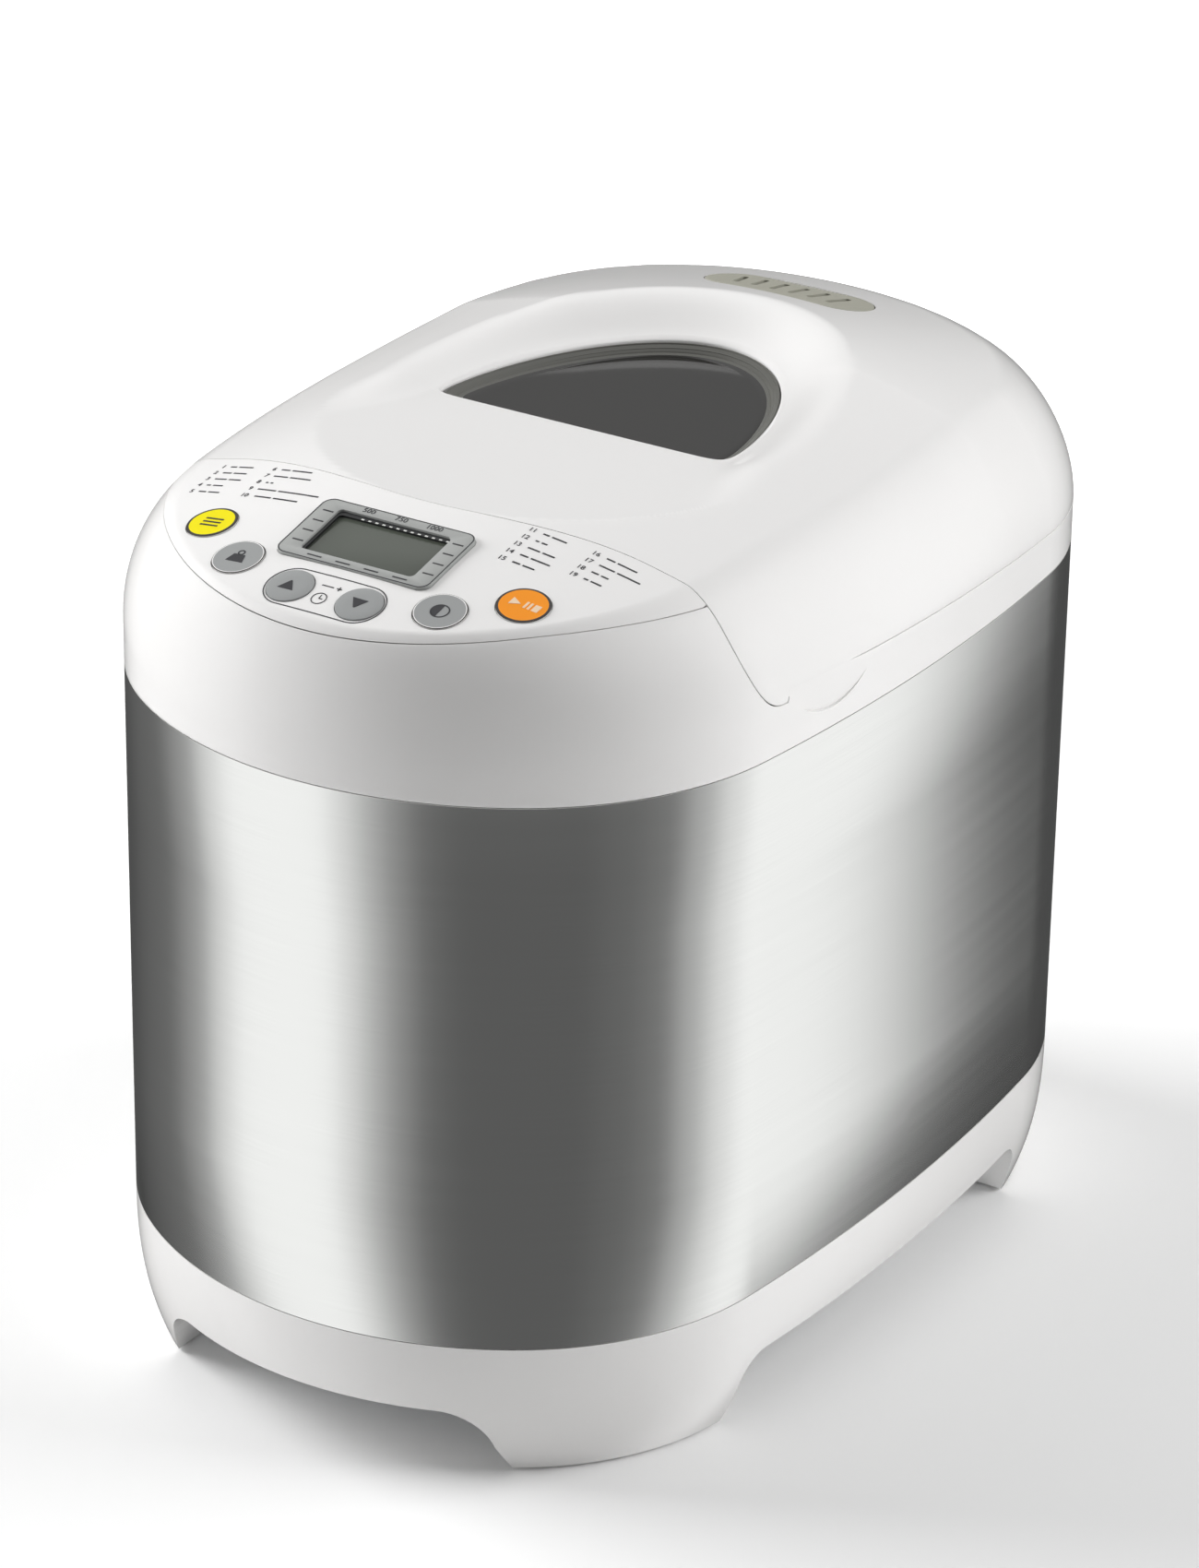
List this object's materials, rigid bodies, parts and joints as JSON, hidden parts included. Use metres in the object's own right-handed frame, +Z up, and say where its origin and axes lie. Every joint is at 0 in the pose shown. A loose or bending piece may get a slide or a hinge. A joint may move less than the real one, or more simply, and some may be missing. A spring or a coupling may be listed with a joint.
{
  "type": "bread machine",
  "caption": "Tabletop bread machine with a steel-clad cabinet, hinged windowed lid, button panel, heated chamber, lift-out pan, kneading paddle and belt drive.",
  "frame": {"origin": "middle of the footprint, on the table plane under the feet", "axes": "+Z up; the control panel faces -Y; +X is on the right when the machine is seen from the panel's side"},
  "size_m": [0.245, 0.3814, 0.3171],
  "materials": {
    "white_plastic": "gloss moulded",
    "panel_film": "gloss printed film",
    "steel_skin": "brushed across",
    "rubber": "matt",
    "belt_rubber": "matt",
    "silicone": "satin",
    "grey_seal": "satin",
    "plated_steel": "zinc plated",
    "shaft_steel": "turned",
    "element_steel": "oxidised",
    "die_cast": "cast",
    "bronze": "sintered",
    "motor_steel": "satin",
    "grey_print": "satin",
    "display_glass": "gloss",
    "dark_plastic": "satin",
    "circuit_board": "satin",
    "yellow_plastic": "satin",
    "grey_plastic": "satin",
    "orange_plastic": "satin",
    "ceramic": "matt",
    "smoked_glass": "polished",
    "taupe_plastic": "satin",
    "nonstick_aluminium": "non-stick coat"
  },
  "bodies": {
    "cabinet": {"base_pan": "white_plastic", "rubber_feet": "rubber", "chassis_plate": "plated_steel", "body_skin": "steel_skin", "top_housing": "white_plastic", "control_panel": "panel_film", "display_frame": "grey_print", "display_window": "display_glass", "display_module": "dark_plastic", "control_board": "circuit_board", "board_switches": "dark_plastic", "oven_chamber": "plated_steel", "heating_element": "element_steel", "element_clips": "plated_steel", "element_terminals": "ceramic", "temperature_sensor": "plated_steel", "thermal_fuse": "ceramic", "bearing_housing": "die_cast", "spindle_bush": "bronze", "pan_socket": "die_cast", "drive_belt": "belt_rubber", "motor": "motor_steel", "motor_bracket": "plated_steel", "motor_capacitor": "white_plastic", "power_board": "circuit_board", "cord_gland": "rubber", "base_screws": "shaft_steel", "hinge_brackets": "white_plastic", "hinge_pins": "shaft_steel"},
    "lid": {"lid_shell": "white_plastic", "lid_liner": "plated_steel", "lid_seal": "silicone", "lid_hinge_arms": "white_plastic", "lid_screws": "shaft_steel", "window_glass": "smoked_glass", "window_seal": "grey_seal", "vent_grille": "taupe_plastic"},
    "drive": {"drive_spindle": "shaft_steel", "large_pulley": "dark_plastic", "drive_coupling": "die_cast"},
    "motor_rotor": {"motor_pulley": "dark_plastic"},
    "pan": {"bread_pan": "nonstick_aluminium", "pan_bush": "bronze"},
    "paddle": {"pan_shaft": "shaft_steel", "pan_coupling": "die_cast", "kneading_paddle": "nonstick_aluminium"},
    "bail": {"pan_handle": "shaft_steel"},
    "menu_button": {"menu_button": "yellow_plastic"},
    "weight_button": {"weight_button": "grey_plastic"},
    "up_button": {"up_button": "grey_plastic"},
    "down_button": {"down_button": "grey_plastic"},
    "colour_button": {"colour_button": "grey_plastic"},
    "start_button": {"start_button": "orange_plastic"}
  },
  "joints": [
    {"name": "lid_hinge", "type": "hinge", "parent": "cabinet", "child": "lid", "pos_m": [0, 0.1909, 0.26036], "axis": [-1, 0, 0], "range_deg": [0, 85]},
    {"name": "drive_spin", "type": "hinge", "parent": "cabinet", "child": "drive", "pos_m": [0, 0.032, 0.047], "axis": [0, 0, 1], "continuous": true},
    {"name": "motor_spin", "type": "hinge", "parent": "cabinet", "child": "motor_rotor", "pos_m": [0, -0.114, 0.047], "axis": [0, 0, 1], "continuous": true},
    {"name": "pan_slide", "type": "slide", "parent": "cabinet", "child": "pan", "axis": [0, 0, 1], "range_m": [0, 0.01]},
    {"name": "paddle_spin", "type": "hinge", "parent": "pan", "child": "paddle", "pos_m": [0, 0.032, 0.09], "axis": [0, 0, 1], "continuous": true},
    {"name": "bail_swing", "type": "hinge", "parent": "pan", "child": "bail", "pos_m": [0, 0.032, 0.21175], "axis": [1, 0, 0], "range_deg": [0, 180]},
    {"name": "menu_press", "type": "slide", "parent": "cabinet", "child": "menu_button", "axis": [0.1124, 0.2183, -0.9694], "range_m": [0, 0.001], "stiffness_N_per_m": 350, "springref_m": -0.0004},
    {"name": "weight_press", "type": "slide", "parent": "cabinet", "child": "weight_button", "axis": [0.0596, 0.2699, -0.961], "range_m": [0, 0.001], "stiffness_N_per_m": 350, "springref_m": -0.0004},
    {"name": "up_press", "type": "slide", "parent": "cabinet", "child": "up_button", "axis": [0.018, 0.2996, -0.9539], "range_m": [0, 0.001], "stiffness_N_per_m": 350, "springref_m": -0.0004},
    {"name": "down_press", "type": "slide", "parent": "cabinet", "child": "down_button", "axis": [-0.018, 0.2996, -0.9539], "range_m": [0, 0.001], "stiffness_N_per_m": 350, "springref_m": -0.0004},
    {"name": "colour_press", "type": "slide", "parent": "cabinet", "child": "colour_button", "axis": [-0.0596, 0.2699, -0.961], "range_m": [0, 0.001], "stiffness_N_per_m": 350, "springref_m": -0.0004},
    {"name": "start_press", "type": "slide", "parent": "cabinet", "child": "start_button", "axis": [-0.1124, 0.2183, -0.9694], "range_m": [0, 0.001], "stiffness_N_per_m": 350, "springref_m": -0.0004}
  ],
  "couplings": [
    {"joint": "motor_spin", "follows": "drive_spin", "ratio": 4.4},
    {"joint": "paddle_spin", "follows": "drive_spin", "ratio": 1}
  ]
}
